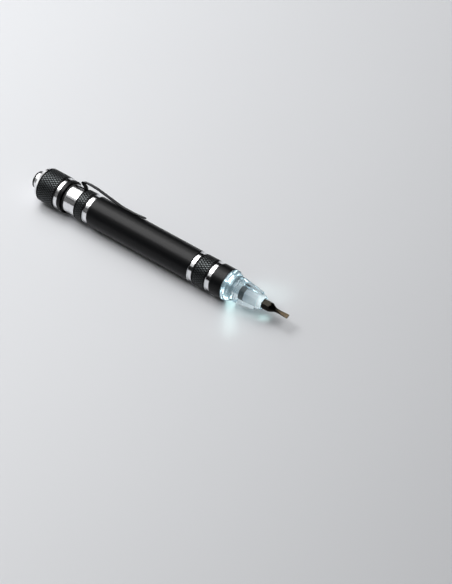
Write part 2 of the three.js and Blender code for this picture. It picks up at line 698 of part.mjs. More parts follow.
// Front collar, its seal, the light and the clear nose
function addFront() {
  const sealMiddle = barrelFront - RING_SETBACK;
  const sealHalf = RING_SECTION + PRESS_GAP;
  const collarOutline = [
    [collarRear, bossRadius + RUN_GAP],
    [collarRear, spigotRadius],
    [sealMiddle - sealHalf, spigotRadius],
    [sealMiddle - sealHalf, sealFloor],
    [sealMiddle + sealHalf, sealFloor],
    [sealMiddle + sealHalf, spigotRadius],
    [barrelFront, spigotRadius],
    [barrelFront, grooveRadius],
    [ringFront, grooveRadius],
    [ringFront, bodyRadius],
    [frontGroove, bodyRadius],
    [frontGroove, grooveRadius],
    [noseRing, grooveRadius],
    [noseRing, bodyRadius],
    [noseRear, bodyRadius],
    [noseRear, nosePlugBore],
    [boardShoulder, nosePlugBore],
    [boardShoulder, frontBore],
    [lipFront, frontBore],
    [lipFront, bossRadius + RUN_GAP],
  ];
  add("front_collar", turned(collarOutline, SHELL_SIDES), "blackAnodised");

  const sealOutline = [];
  const sealSteps = 8;
  for (let i = 0; i < sealSteps; i++) {
    const angle = (i / sealSteps) * 2 * Math.PI;
    const station = sealMiddle + RING_SECTION * Math.cos(angle);
    sealOutline.push([station, sealRadius - RING_SECTION + RING_SECTION * Math.sin(angle)]);
  }
  add("front_seal", turned(sealOutline, CORE_SIDES), "rubber");

  const board = bar(boardRear, BOARD_THICKNESS, nosePlugRadius, nosePlugRadius, CORE_SIDES);
  add("led_board", board, "board");
  const resistor = new THREE.BoxGeometry(RESISTOR.height, RESISTOR.length, RESISTOR.width);
  resistor.translate(boardShoulder - RESISTOR.height / 2, 0, RESISTOR.offset);
  add("resistor", resistor, "blackPlastic");

  const ledRear = boardFront + SEAT_GAP;
  const ledFront = ledRear + LED_HEIGHT;
  const ledOutline = [
    [ledRear, 0],
    [ledRear, LED_RADIUS + LED_RIM],
    [ledRear + LED_RIM_HEIGHT, LED_RADIUS + LED_RIM],
    [ledRear + LED_RIM_HEIGHT, LED_RADIUS],
  ];
  const domeSteps = 4;
  for (let i = 0; i <= domeSteps; i++) {
    const angle = (i / domeSteps) * (Math.PI / 2);
    const radius = i === domeSteps ? 0 : LED_RADIUS * Math.cos(angle);
    ledOutline.push([ledFront - LED_RADIUS * (1 - Math.sin(angle)), radius]);
  }
  const pockets = [];
  for (let i = 0; i < LED_COUNT; i++) {
    const angle = (i / LED_COUNT) * 2 * Math.PI;
    const holder = new THREE.Group();
    holder.rotation.x = angle;
    pen.add(holder);
    add("led_" + (i + 1), turned(ledOutline, FINE_SIDES), "lamp", holder).position.z = ledCircle;
    const pocketLength = ledFront + POCKET_GAP - nosePlugRear + JOIN;
    const pocket = bar(nosePlugRear - JOIN, pocketLength, pocketRadius, pocketRadius, FINE_SIDES);
    pockets.push(pocket.translate(0, 0, ledCircle).rotateX(angle));
  }

  const noseCone = noseRear + FLANGE_LENGTH;
  const noseBody = noseCone + CONE_LENGTH;
  const noseTip = noseFront - NOSE_TIP_LENGTH;
  const bodyFlat = noseRootCorner / hexCorner;
  const baseOutline = [
    [nosePlugRear, 0],
    [nosePlugRear, nosePlugRadius],
    [noseRear, nosePlugRadius],
    [noseRear, bodyRadius - FLANGE_STEP],
    [noseCone, bodyRadius - FLANGE_STEP],
    [noseBody, bodyFlat],
    [noseBody + JOIN, bodyFlat - JOIN],
    [noseBody + JOIN, 0],
  ];
  const base = turned(baseOutline, SHELL_SIDES);
  const hexBody = bar(noseBody - JOIN, noseTip - noseBody + JOIN, noseRootCorner, noseFrontCorner, 6);
  const tipCorner = socketCorner + NOSE_TIP_WALL;
  const hexTipRear = noseTip - JOIN;
  const chamfer = bar(hexTipRear, NOSE_TIP_LENGTH + JOIN, noseFrontCorner, tipCorner, 6);
  const socketLength = noseFront - socketFloor + JOIN;
  const socketTurn = Math.PI / 6 + BIT_ROLL;
  const socket = bar(socketFloor, socketLength, socketCorner, socketCorner, 6).rotateX(socketTurn);
  add("nose_socket", cut(joined(base, hexBody, chamfer), socket, ...pockets), "clearPlastic");
  const magnet = bar(magnetRear, MAGNET_LENGTH, BIT_FLATS / 2, BIT_FLATS / 2, FINE_SIDES);
  add("socket_magnet", magnet, "magnet");
  const driver = add("driver_bit", bit(bladeTip(BLADE_WIDTH, BLADE_THICKNESS)), "bitSteel");
  driver.position.x = bitRear;
  driver.rotation.x = BIT_ROLL;
}

addTail();
addCells();
addBody();
addClip();
addRack();
addFront();

export default part;
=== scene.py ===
import json
import math

import bmesh
import bpy
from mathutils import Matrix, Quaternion, Vector

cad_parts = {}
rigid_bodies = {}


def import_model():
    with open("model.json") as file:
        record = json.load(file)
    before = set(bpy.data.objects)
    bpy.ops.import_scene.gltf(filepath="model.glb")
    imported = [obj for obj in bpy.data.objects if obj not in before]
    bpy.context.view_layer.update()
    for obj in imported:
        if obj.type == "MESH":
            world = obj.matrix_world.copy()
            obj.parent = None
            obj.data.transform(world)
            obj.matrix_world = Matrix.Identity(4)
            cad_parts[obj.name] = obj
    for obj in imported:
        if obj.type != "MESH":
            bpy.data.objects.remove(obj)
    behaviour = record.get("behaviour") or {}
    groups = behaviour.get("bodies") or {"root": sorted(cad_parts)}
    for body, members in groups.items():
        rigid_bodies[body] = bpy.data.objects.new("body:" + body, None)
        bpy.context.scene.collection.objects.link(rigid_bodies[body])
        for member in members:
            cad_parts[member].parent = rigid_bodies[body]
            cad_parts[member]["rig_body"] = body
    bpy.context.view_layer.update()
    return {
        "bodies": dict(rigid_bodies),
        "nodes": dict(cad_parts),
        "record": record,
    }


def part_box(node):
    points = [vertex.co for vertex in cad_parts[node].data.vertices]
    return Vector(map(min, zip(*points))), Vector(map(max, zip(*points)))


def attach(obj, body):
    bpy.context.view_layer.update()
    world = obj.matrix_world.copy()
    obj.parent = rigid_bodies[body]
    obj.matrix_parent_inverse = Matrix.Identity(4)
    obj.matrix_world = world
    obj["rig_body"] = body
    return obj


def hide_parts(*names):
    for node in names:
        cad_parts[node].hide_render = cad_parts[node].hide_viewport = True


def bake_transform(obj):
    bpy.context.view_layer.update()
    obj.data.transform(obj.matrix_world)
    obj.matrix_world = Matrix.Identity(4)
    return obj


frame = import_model()
print("frame loaded:", len(frame["nodes"]), "nodes")

# sizes below are in millimetres, in the CAD's own frame: the pen lies along x with its bit at +x
mm = 0.001
cadSides = 48  # flats round the CAD's turned pieces
creaseAngle = 32  # in degrees: edges sharper than this stay sharp
fineEdge = 0.05  # roundings of turned edges
grooveEdge = 0.06
softEdge = 0.1
mostRounding = 0.45  # of an edge's length, that a corner's rounding may take up
slack = 0.02  # in telling on which cut a face lies
skin = 0.1  # a face this far off the inner radius is an outer one


def span(node):
    low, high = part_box(node)
    return low.x / mm, high.x / mm


def turnedRadius(node):
    low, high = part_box(node)
    return (high.z - low.z) / 2 / mm / math.cos(math.pi / cadSides)


barrelLow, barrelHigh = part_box("barrel")
axisHeight = (barrelLow.z + barrelHigh.z) / 2 / mm
bodyRadius = turnedRadius("barrel")


def turnsOf(count):
    return [2 * math.pi * i / count for i in range(count)]


def penPoint(x, radius, angle):
    # angle 0 is straight up, and it grows towards -y
    return Vector((x, -radius * math.sin(angle), radius * math.cos(angle) + axisHeight)) * mm


def finishPiece(piece, body, slot, *nodes):
    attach(piece, body)
    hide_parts(*nodes)


def addObject(name, data):
    made = bpy.data.objects.new(name, data)
    bpy.context.scene.collection.objects.link(made)
    return made


def meshPiece(name, built, finishes, sharpAngle=creaseAngle, merge=1e-7):
    bmesh.ops.remove_doubles(built, verts=built.verts, dist=merge)
    bmesh.ops.recalc_face_normals(built, faces=built.faces)
    mesh = bpy.data.meshes.new(name)
    built.to_mesh(mesh)
    built.free()
    for material in finishes:
        mesh.materials.append(material)
    mesh.shade_smooth()
    mesh.set_sharp_from_angle(angle=math.radians(sharpAngle))
    return addObject(name, mesh)


def curve(before, corner, after, back, ahead, steps):
    # rounds a corner, from a way back along one edge to a way ahead along the other
    start = corner + (before - corner).normalized() * back
    end = corner + (after - corner).normalized() * ahead
    points = []
    for step in range(steps + 1):
        t = step / steps
        points.append(start * (1 - t) ** 2 + corner * 2 * t * (1 - t) + end * t * t)
    return points


def roundCorners(corners, steps=3):
    # each corner is x, radius and how far its rounding reaches along both of its edges
    points = []
    for i, (x, radius, reach) in enumerate(corners):
        here = Vector((x, radius))
        before = Vector(corners[i - 1][:2])
        after = Vector(corners[(i + 1) % len(corners)][:2])
        if reach <= 0:
            points.append(here)
            continue
        back = min(reach, mostRounding * (before - here).length)
        ahead = min(reach, mostRounding * (after - here).length)
        points += curve(before, here, after, back, ahead, steps)
    return points


def holdEdges(points, near=0.03):
    # a point close to both ends of each long run, so that the rounding beside it doesn't bend its shading
    held = []
    for here, after in zip(points, points[1:] + points[:1]):
        held.append(here)
        length = (after - here).length
        if length > 6 * near and here.y + after.y > 0:
            held += [here.lerp(after, t) for t in (near / length, 1 - near / length)]
    return held


def turnPiece(name, corners, finishes, finishAt=None, segments=144):
    # a piece turned on a lathe: a closed outline of x and radius, swung round the pen's axis
    outline = holdEdges(roundCorners(corners))
    built = bmesh.new()
    rows = [[built.verts.new(penPoint(p.x, p.y, turn)) for p in outline] for turn in turnsOf(segments)]
    for here, after in zip(rows, rows[1:] + rows[:1]):
        for i, point in enumerate(outline):
            j = (i + 1) % len(outline)
            following = outline[j]
            if point.y == 0 and following.y == 0:
                continue
            face = built.faces.new((here[i], here[j], after[j], after[i]))
            if finishAt:
                face.material_index = finishAt((point.x + following.x) / 2, (point.y + following.y) / 2)
    return meshPiece(name, built, finishes)


def holdSections(sections, near=0.03):
    # the same for rings of points: one more ring close to both ends of each long run
    held = [sections[0]]
    for here, after in zip(sections, sections[1:]):
        length = (after[0] - here[0]).length / mm
        if length > 12 * near:
            for t in (near / length, 1 - near / length):
                held.append([a.lerp(b, t) for a, b in zip(here, after)])
        held.append(after)
    return held


def loftPiece(name, sections, finishes, sharpAngle=creaseAngle):
    # rings of points joined one after the other, closed by a face at each end
    built = bmesh.new()
    rows = [[built.verts.new(p) for p in section] for section in holdSections(sections)]
    count = len(rows[0])
    for n in range(len(rows) - 1):
        for i in range(count):
            j = (i + 1) % count
            built.faces.new((rows[n][i], rows[n][j], rows[n + 1][j], rows[n + 1][i]))
    built.faces.new(rows[0])
    built.faces.new(rows[-1])
    return meshPiece(name, built, finishes, sharpAngle)


def cutPiece(piece, *cutters):
    for cutter in cutters:
        modifier = piece.modifiers.new("cut", "BOOLEAN")
        modifier.operation = "DIFFERENCE"
        modifier.solver = "EXACT"
        modifier.object = cutter
    bakeModifiers(piece)
    for cutter in cutters:
        bpy.data.objects.remove(cutter)


def bakeModifiers(piece):
    graph = bpy.context.evaluated_depsgraph_get()
    mesh = bpy.data.meshes.new_from_object(piece.evaluated_get(graph), depsgraph=graph)
    piece.modifiers.clear()
    piece.data = mesh
    mesh.name = piece.name


# camera, at the photograph's place: its distances are from the axis at the front of the nose ring
camera = {
    "fromNoseRing": (300.8, -389.4, 494.8),
    "back": (0.4308, -0.5543, 0.7122),  # from the pen towards the camera
    "lens": 104.04,
    "sensor": 36,
    "nearest": 0.01,  # metres
    "farthest": 20,
}


def makeCamera():
    noseRingFront = span("front_collar")[1]
    data = bpy.data.cameras.new("photoCamera")
    data.lens = camera["lens"]
    data.sensor_width = camera["sensor"]
    data.clip_start = camera["nearest"]
    data.clip_end = camera["farthest"]
    eye = addObject("photoCamera", data)
    x, y, z = camera["fromNoseRing"]
    eye.location = Vector((noseRingFront + x, y, axisHeight + z)) * mm
    eye.rotation_mode = "QUATERNION"
    eye.rotation_quaternion = (-Vector(camera["back"])).to_track_quat("-Z", "Y")
    bpy.context.scene.camera = eye
    print("camera placed")


makeCamera()


# materials
def newMaterial(name):
    material = bpy.data.materials.new(name)
    material.use_nodes = True
    return material, material.node_tree.nodes["Principled BSDF"]


def feed(socket, value):
    # a node's output is linked, and a plain value is set; id_data is the tree they are in
    if isinstance(value, bpy.types.NodeSocket):
        socket.id_data.links.new(value, socket)
    else:
        socket.default_value = value


def fill(made, **inputs):
    # baseColor stands for the input that is labelled Base Color
    for key, value in inputs.items():
        words = "".join(" " + c if c.isupper() else c for c in key)
        feed(made.inputs[words[0].upper() + words[1:]], value)
    return made


def node(tree, kind, **inputs):
    return fill(tree.nodes.new(kind), **inputs)


def objectNoise(tree, stretch, scale, detail=3):
    # noise on object coordinates, stretched by the given amounts along x, y and z
    place = node(tree, "ShaderNodeTexCoord")
    mapping = node(tree, "ShaderNodeMapping", vector=place.outputs["Object"], scale=stretch)
    noise = node(tree, "ShaderNodeTexNoise", vector=mapping.outputs["Vector"], scale=scale, detail=detail)
    return noise.outputs["Fac"]


noiseLow, noiseHigh = 0.3, 0.7  # the part of a noise's range that is spread over a look
grainHeight = 0.00002  # metres


def ramp(value, low, high):
    made = node(value.id_data, "ShaderNodeValToRGB", fac=value)
    first, last = made.color_ramp.elements
    first.position = noiseLow
    first.color = (*low, 1)
    last.position = noiseHigh
    last.color = (*high, 1)
    return made.outputs["Color"]


def mapRange(value, start, end, low, high):
    return node(
        value.id_data, "ShaderNodeMapRange", value=value,
        fromMin=start, fromMax=end, toMin=low, toMax=high)


def spread(value, low, high):
    return mapRange(value, noiseLow, noiseHigh, low, high).outputs["Result"]


def grainedMaterial(name, low, high, rough, metallic, stretch, scale, bump):
    # colour, roughness and bump that follow one grain
    material, surface = newMaterial(name)
    grain = objectNoise(surface.id_data, stretch, scale)
    raised = node(surface.id_data, "ShaderNodeBump", height=grain, strength=bump, distance=grainHeight)
    fill(
        surface, baseColor=ramp(grain, low, high), roughness=spread(grain, *rough),
        normal=raised.outputs["Normal"], metallic=metallic)
    return material, surface


def alongPen(tree, start, end, low=0, high=1):
    # a value that goes from low to high between two stations
    place = node(tree, "ShaderNodeTexCoord")
    split = node(tree, "ShaderNodeSeparateXYZ", vector=place.outputs["Object"])
    return mapRange(split.outputs["X"], start * mm, end * mm, low, high).outputs["Result"]


def fadeAlong(surface, front, start, end, colour):
    # the base colour goes over to another one, between stations that are told from the front
    mixed = surface.id_data.nodes.new("ShaderNodeMix")
    mixed.data_type = "RGBA"
    old = surface.inputs["Base Color"].links[0].from_socket
    fill(mixed, factor=alongPen(surface.id_data, front + start, front + end), a=old, b=(*colour, 1))
    fill(surface, baseColor=mixed.outputs["Result"])


def shineAlong(surface, front, start, end, low, high, colour):
    strength = alongPen(surface.id_data, front + start, front + end, low, high)
    fill(surface, emissionColor=(*colour, 1), emissionStrength=strength)


even = (1, 1, 1)
turned = (40, 1, 1)  # lines round the pen, as a lathe leaves them
drawn = (1, 8, 8)  # lines along the pen

# each finish: dark and light colour, roughness, metallic, stretch and scale of its grain, and bump
grains = {
    "blackAnodised": ((0.003, 0.0032, 0.0036), (0.0048, 0.005, 0.0056), (0.29, 0.35), 0, even, 2600, 0.04),
    # the tops of the knurl's points are lighter and glossier than the flanks: a painted sheen where light
    # catches them
    "knurlTopSheen": ((0.009, 0.0104, 0.011), (0.015, 0.017, 0.018), (0.36, 0.46), 0, even, 2600, 0.04),
    "knurlFlank": ((0.003, 0.0033, 0.0035), (0.005, 0.0055, 0.0058), (0.42, 0.5), 0, even, 2600, 0.04),
    "cutBright": ((0.78, 0.79, 0.81), (0.93, 0.93, 0.94), (0.1, 0.2), 1, turned, 400, 0.12),
    "polishedButton": ((0.82, 0.83, 0.85), (0.94, 0.94, 0.95), (0.24, 0.32), 1, even, 700, 0.04),
    "clipSteel": ((0.002, 0.0021, 0.0023), (0.004, 0.0042, 0.0045), (0.28, 0.38), 0, (1, 14, 14), 500, 0.08),
    # the socket's wall round the magnet is painted dark: painted shade that stands in for the dark magnet
    # seen through the wall
    "magnetPaintedShade": ((0.003, 0.004, 0.005), (0.008, 0.009, 0.009), (0.5, 0.65), 0, even, 1500, 0.1),
    "magnetNickel": ((0.012, 0.012, 0.013), (0.03, 0.03, 0.032), (0.3, 0.45), 0.9, even, 900, 0.06),
    "bitSteel": ((0.026, 0.022, 0.018), (0.05, 0.042, 0.034), (0.3, 0.42), 0.85, drawn, 700, 0.08),
    "springWire": ((0.42, 0.43, 0.45), (0.62, 0.63, 0.65), (0.18, 0.3), 1, even, 1500, 0.05),
    "cellNickel": ((0.6, 0.61, 0.62), (0.75, 0.75, 0.76), (0.15, 0.28), 1, turned, 300, 0.05),
    "turnedBrass": ((0.62, 0.43, 0.18), (0.78, 0.57, 0.27), (0.2, 0.32), 1, turned, 300, 0.08),
    "sealRubber": ((0.008, 0.008, 0.009), (0.016, 0.016, 0.017), (0.55, 0.75), 0, even, 1800, 0.2),
    "blackMoulding": ((0.012, 0.012, 0.014), (0.022, 0.022, 0.025), (0.45, 0.6), 0, even, 1600, 0.15),
    "greyMoulding": ((0.36, 0.37, 0.38), (0.43, 0.44, 0.45), (0.42, 0.58), 0, even, 1600, 0.15),
    "boardWhite": ((0.74, 0.78, 0.76), (0.86, 0.88, 0.87), (0.35, 0.5), 0, even, 900, 0.08),
    "lampGlow": ((0.8, 0.94, 1.0), (0.95, 1.0, 1.0), (0.1, 0.2), 0, even, 500, 0.02),
}
extras = {
    "blackAnodised": {"Specular IOR Level": 0.15},
    "knurlTopSheen": {"Specular IOR Level": 0.85, "Specular Tint": (0.9, 0.98, 1, 1)},
    "knurlFlank": {"Specular IOR Level": 0.25},
    "clipSteel": {"Specular IOR Level": 0.08},
    "lampGlow": {"Emission Color": (0.72, 0.95, 1.0, 1), "Emission Strength": 2},
}


def makeFinishes():
    made = {}
    for name, look in grains.items():
        made[name], surface = grainedMaterial(name, *look)
        for label, value in extras.get(name, {}).items():
            feed(surface.inputs[label], value)
    print("materials made")
    return made


finish = makeFinishes()
blackAndBright = (finish["blackAnodised"], finish["cutBright"])

# the nose's plastic carries a painted glow from its flange on, its frosted socket a painted glow and painted
# lightening towards the mouth
noseShine = {"start": 1, "end": 5, "low": 0.13, "high": 0.045, "colour": (0.62, 0.86, 0.98)}
nosePlastic = {
    "colours": ((0.87, 0.955, 0.985), (0.93, 0.98, 1.0)),
    "rough": (0.0, 0.03),
    "bending": 1.36,
    "flow": ((1, 2, 2), 160, 2),  # stretch, scale and detail of its noise
}
# painted light on the socket's wall: a glow and a lighter colour, both rising towards the mouth
socketShine = {"start": -3, "end": -0.6, "low": 0.1, "high": 0.42, "colour": (0.86, 0.97, 1.0)}
socketPaintedLight = {"start": -8.6, "end": -1.2, "colour": (0.92, 0.95, 0.95)}
bladeFade = {"start": -5.6, "end": -3.2, "colour": (0.085, 0.066, 0.044)}


def makeClearPlastic():
    material, surface = newMaterial("clearPlastic")
    flow = objectNoise(surface.id_data, *nosePlastic["flow"])
    fill(
        surface, baseColor=ramp(flow, *nosePlastic["colours"]),
        roughness=spread(flow, *nosePlastic["rough"]), transmissionWeight=1)
    surface.inputs["IOR"].default_value = nosePlastic["bending"]
    # painted glow, strongest by the flange
    shineAlong(surface, span("front_collar")[1], **noseShine)
    return material


def makeSocketFrost():
    # the moulded socket wall, frosted, with a painted glow and a colour painted lighter towards the mouth
    material, surface = grainedMaterial(
        "socketFrost", (0.16, 0.2, 0.24), (0.28, 0.33, 0.385), (0.4, 0.55), 0, (0.15, 6, 6), 500, 0.1)
    front = span("nose_socket")[1]
    # painted light: the wall lightens and glows more towards the mouth
    fadeAlong(surface, front, **socketPaintedLight)
    shineAlong(surface, front, **socketShine)
    return material


def makeDriverSteel():
    # blackened shank whose blade is worn to bronze
    material, surface = grainedMaterial(
        "driverSteel", (0.009, 0.0085, 0.007), (0.016, 0.015, 0.012), (0.24, 0.34), 1, drawn, 700, 0.08)
    fadeAlong(surface, span("driver_bit")[1], **bladeFade)
    return material


# diamond knurl: rows of blunt four-sided points, each row half a point round from the last
knurl = {
    "pitch": 1.9,  # along the pen, from point to point
    "depth": 0.34,
    "sink": 0.04,  # how far each point's base is let into the metal
    "blunt": 0.6,  # width of a point's flat top, over its base
    "land": 0.3,  # plain edge at each end of a knurled band
    "landDrop": 0.06,  # of the land, below the points
    "chamfer": 0.14,  # on the land's outer corner
}


def newTree(name, **sockets):
    # a geometry tree whose named inputs are listed by their kind
    tree = bpy.data.node_groups.new(name, "GeometryNodeTree")
    for kind, labels in sockets.items():
        for label in labels:
            tree.interface.new_socket(label, in_out="INPUT", socket_type="NodeSocket" + kind.capitalize())
    tree.interface.new_socket("Geometry", in_out="OUTPUT", socket_type="NodeSocketGeometry")
    return tree, tree.nodes.new("NodeGroupInput").outputs


def buildKnurlTree():
    tree, given = newTree(
        "diamondKnurl",
        float=("Radius", "Start", "Length", "Pitch", "Depth", "Blunt", "Axis Height"),
        int=("Around",),
        material=("Top Material", "Flank Material"),
    )

    def math2(operation, *values):
        made = tree.nodes.new("ShaderNodeMath")
        made.operation = operation
        for socket, value in zip(made.inputs, values):
            feed(socket, value)
        return made.outputs[0]

    def vector(x, y, z):
        return node(tree, "ShaderNodeCombineXYZ", x=x, y=y, z=z).outputs[0]

    index = tree.nodes.new("GeometryNodeInputIndex").outputs[0]
    around = given["Around"]
    halfPitch = math2("MULTIPLY", given["Pitch"], 0.5)
    rows = math2("SUBTRACT", math2("FLOOR", math2("DIVIDE", given["Length"], halfPitch)), 1)
    row = math2("FLOOR", math2("DIVIDE", math2("ADD", index, 0.5), around))
    place = math2("SUBTRACT", index, math2("MULTIPLY", row, around))
    stagger = math2("MULTIPLY", math2("MODULO", row, 2), 0.5)
    angle = math2("DIVIDE", math2("MULTIPLY", math2("ADD", place, stagger), 2 * math.pi), around)
    rowStep = math2("DIVIDE", given["Length"], math2("ADD", rows, 1))
    x = math2("ADD", given["Start"], math2("MULTIPLY", math2("ADD", row, 1), rowStep))
    floorRadius = math2("SUBTRACT", given["Radius"], given["Depth"])
    y = math2("MULTIPLY", math2("MULTIPLY", floorRadius, math2("SINE", angle)), -1)
    z = math2("ADD", math2("MULTIPLY", floorRadius, math2("COSINE", angle)), given["Axis Height"])
    halfWidth = math2("DIVIDE", math2("MULTIPLY", floorRadius, math.pi), around)

    count = math2("MULTIPLY", rows, around)
    points = node(tree, "GeometryNodePoints", count=count, position=vector(x, y, z))
    point = node(
        tree, "GeometryNodeMeshCone", vertices=4, radiusBottom=1,
        radiusTop=given["Blunt"], depth=given["Depth"])
    placed = node(
        tree, "GeometryNodeInstanceOnPoints", points=points.outputs[0], instance=point.outputs["Mesh"],
        rotation=vector(angle, 0, 0), scale=vector(rowStep, halfWidth, 1))
    realized = node(tree, "GeometryNodeRealizeInstances", geometry=placed.outputs[0])
    faceted = node(tree, "GeometryNodeSetShadeSmooth", geometry=realized.outputs[0], shadeSmooth=False)
    flanks = node(
        tree, "GeometryNodeSetMaterial", geometry=faceted.outputs[0], material=given["Flank Material"])
    tops = node(
        tree, "GeometryNodeSetMaterial", geometry=flanks.outputs[0],
        selection=point.outputs["Top"], material=given["Top Material"])
    node(tree, "NodeGroupOutput", geometry=tops.outputs[0])
    return tree


def growPiece(name, tree, settings):
    # an empty mesh that the tree fills, made a plain mesh
    piece = addObject(name, bpy.data.meshes.new(name))
    modifier = piece.modifiers.new(name, "NODES")
    modifier.node_group = tree
    for item in tree.interface.items_tree:
        if item.in_out == "INPUT":
            modifier[item.identifier] = settings[item.name]
    bakeModifiers(piece)
    return piece


knurlTree = buildKnurlTree()


def knurlBand(name, body, start, end, radius, around):
    piece = growPiece(name, knurlTree, {
        "Radius": radius * mm,
        "Start": (start + knurl["land"]) * mm,
        "Length": (end - start - 2 * knurl["land"]) * mm,
        "Pitch": knurl["pitch"] * mm,
        "Depth": (knurl["depth"] + knurl["sink"]) * mm,
        "Blunt": knurl["blunt"],
        "Axis Height": axisHeight * mm,
        "Around": around,
        # the points' tops take the painted sheen
        "Top Material": finish["knurlTopSheen"],
        "Flank Material": finish["knurlFlank"],
    })
    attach(piece, body)


def knurledEdge(start, end, radius, rearChamfer=knurl["chamfer"]):
    # outline of a band cut back under its knurl, with a plain land at both ends
    bottom = radius - knurl["depth"]
    land = knurl["land"]
    chamfer = knurl["chamfer"]
    top = radius - knurl["landDrop"]
    return [
        (start, top - rearChamfer, 0),
        (start + rearChamfer + slack, top, 0),
        (start + land, top, fineEdge),
        (start + land, bottom, 0),
        (end - land, bottom, 0),
        (end - land, top, fineEdge),
        (end - chamfer, top, 0),
        (end, top - chamfer, 0),
    ]


# tail cap and its button
tailCap = {
    "bevel": 1.3,
    "bevelDrop": 0.4,
    "knurlLength": 9.9,
    "groove": 2.2,
    "grooveDepth": 0.45,
    "lipStep": 0.25,
    "endWall": 1.1,
    "threadStart": 7.55,  # inside, from the rear face
    "threadBore": 6.15,
    "switchBore": 5.5,
    "bandStop": 0.65,
    "buttonGap": 0.1,
    "endEdge": 0.15,
    "lipEdge": 0.22,
    "pointsAround": 43,
}
tailButton = {
    "side": 4,
    "lip": 0.9,
    "edge": 0.25,
    "rim": 1,  # black at the rear edge
    "rimWidth": 0.5,
    "dish": 0.12,
    "dishLip": 0.02,
    "dishShare": 0.55,  # of the button's radius
    "dishRounding": 0.8,
    "wall": 1,
    "top": 1.5,
    "flange": 0.8,
    "segments": 96,
}


def makeTailCap():
    rear, front = span("tail_cap")
    radius = turnedRadius("tail_cap")
    hole = tailButton["side"] + tailCap["buttonGap"]
    knurlStart = rear + tailCap["bevel"]
    knurlEnd = knurlStart + tailCap["knurlLength"]
    lipStart = knurlEnd + tailCap["groove"]
    bandEnd = lipStart - tailCap["bandStop"]  # the bright cut stops short of the lip
    grooveFloor = radius - tailCap["grooveDepth"]
    lip = radius - tailCap["lipStep"]
    inside = rear + tailCap["endWall"]
    threadStart = rear + tailCap["threadStart"]
    corners = [
        (rear, hole, softEdge),
        (rear, radius - tailCap["bevelDrop"], tailCap["endEdge"]),
        *knurledEdge(knurlStart, knurlEnd, radius, 0),
        (knurlEnd, grooveFloor, grooveEdge),
        (bandEnd, grooveFloor, 0),
        (lipStart, grooveFloor, grooveEdge),
        (lipStart, lip, softEdge),
        (front, lip, tailCap["lipEdge"]),
        (front, tailCap["threadBore"], tailCap["endEdge"]),
        (threadStart, tailCap["threadBore"], 0),
        (threadStart, tailCap["switchBore"], 0),
        (inside, tailCap["switchBore"], 0),
        (inside, hole, 0),
    ]

    def isBright(x, r):
        onEnd = x < knurlStart - slack and r > hole + slack and x < inside
        inGroove = knurlEnd - slack < x < bandEnd and r > tailCap["threadBore"] + skin
        return int(onEnd or inGroove)

    cap = turnPiece("tailCapShell", corners, blackAndBright, isBright)
    finishPiece(cap, "tail_cap", "black_anodised", "tail_cap")
    knurlBand("tailCapKnurl", "tail_cap", knurlStart, knurlEnd, radius, tailCap["pointsAround"])
    print("tail cap made")


def makeTailButton():
    rear, front = span("tail_button")
    side = tailButton["side"]
    flangeRadius = side + tailButton["lip"]
    flangeRear = front - tailButton["flange"]
    bore = side - tailButton["wall"]
    rimEnd = rear + tailButton["rim"]
    inside = rear + tailButton["top"]
    corners = [
        (rear + tailButton["dish"], 0, 0),
        (rear + tailButton["dishLip"], side * tailButton["dishShare"], tailButton["dishRounding"]),
        (rear, side, tailButton["edge"]),
        (rimEnd, side, 0),
        (flangeRear, side, fineEdge),
        (flangeRear, flangeRadius, softEdge),
        (front, flangeRadius, softEdge),
        (front, bore, fineEdge),
        (inside, bore, softEdge),
        (inside, 0, 0),
    ]

    def isRim(x, r):
        return int(x < rimEnd and r > side - tailButton["rimWidth"])

    finishes = (finish["polishedButton"], finish["knurlFlank"])
    button = turnPiece("tailButtonCap", corners, finishes, isRim, tailButton["segments"])
    finishPiece(button, "tail_button", "polished_metal", "tail_button")
    print("tail button made")


makeTailCap()
makeTailButton()


# knurled rings and bright grooves of both collars
rings = {"grooveDepth": 0.45, "bandStop": 0.45, "pointsAround": 39}
grooveFloor = bodyRadius - rings["grooveDepth"]

# rear collar: neck, knurled ring and groove, with the slot that takes the clip
rearCollar = {
    "neckRadius": 6.55,
    "threadRadius": 6.05,
    "bore": 4.65,
    "plugRadius": 5.94,
    "groove": 2.4,
    "ringLength": 5.2,
    "neckLength": 6,
    "endEdge": 0.2,
    "neckEdge": 0.12,
    "sealGap": 0.05,
    "sealRounding": 0.35,
}
clip = {
    "roll": math.radians(34),  # from straight up, towards +y
    "width": 2.7,
    "tipWidth": 2.3,
    "thickness": 0.4,
    "rise": 2.1,  # middle of the strip above the barrel, at the fold
    "hump": 0.3,
    "humpReach": 5.4,
    "foldRadius": 0.45,
    "foldSteps": 16,
    "armSteps": 10,
    "legReach": 2,
    "knee": 0.55,
    "kneeRounding": 0.5,
    "humpRounding": 4,
    "bendRounding": 2,
    "footSetback": 1.2,
    "footDepth": 0.7,
    "slotGap": 0.3,
    "slotTop": 1,  # how far the slot's cutter stands out of the neck
    "contactReach": 21.8,
    "contactGap": 0.08,
    "flareReach": 28.4,
    "flare": 0.5,
    "length": 35,
    "edge": 0.08,  # rounding of the strip's edges
    "tipRounding": 0.6,
    "tipSteps": 6,
}
neckRear = span("tail_seal")[1] + rearCollar["sealGap"]
ringRear = neckRear + rearCollar["neckLength"]
clipFoot = ringRear - clip["footSetback"]
clipFold = clipFoot - clip["legReach"]


def clipPoint(x, radius, across):
    # a point of the clip: its station, its distance from the axis and its place across the strip
    turnY, turnZ = math.sin(clip["roll"]), math.cos(clip["roll"])
    return Vector((x, radius * turnY + across * turnZ, radius * turnZ - across * turnY + axisHeight)) * mm


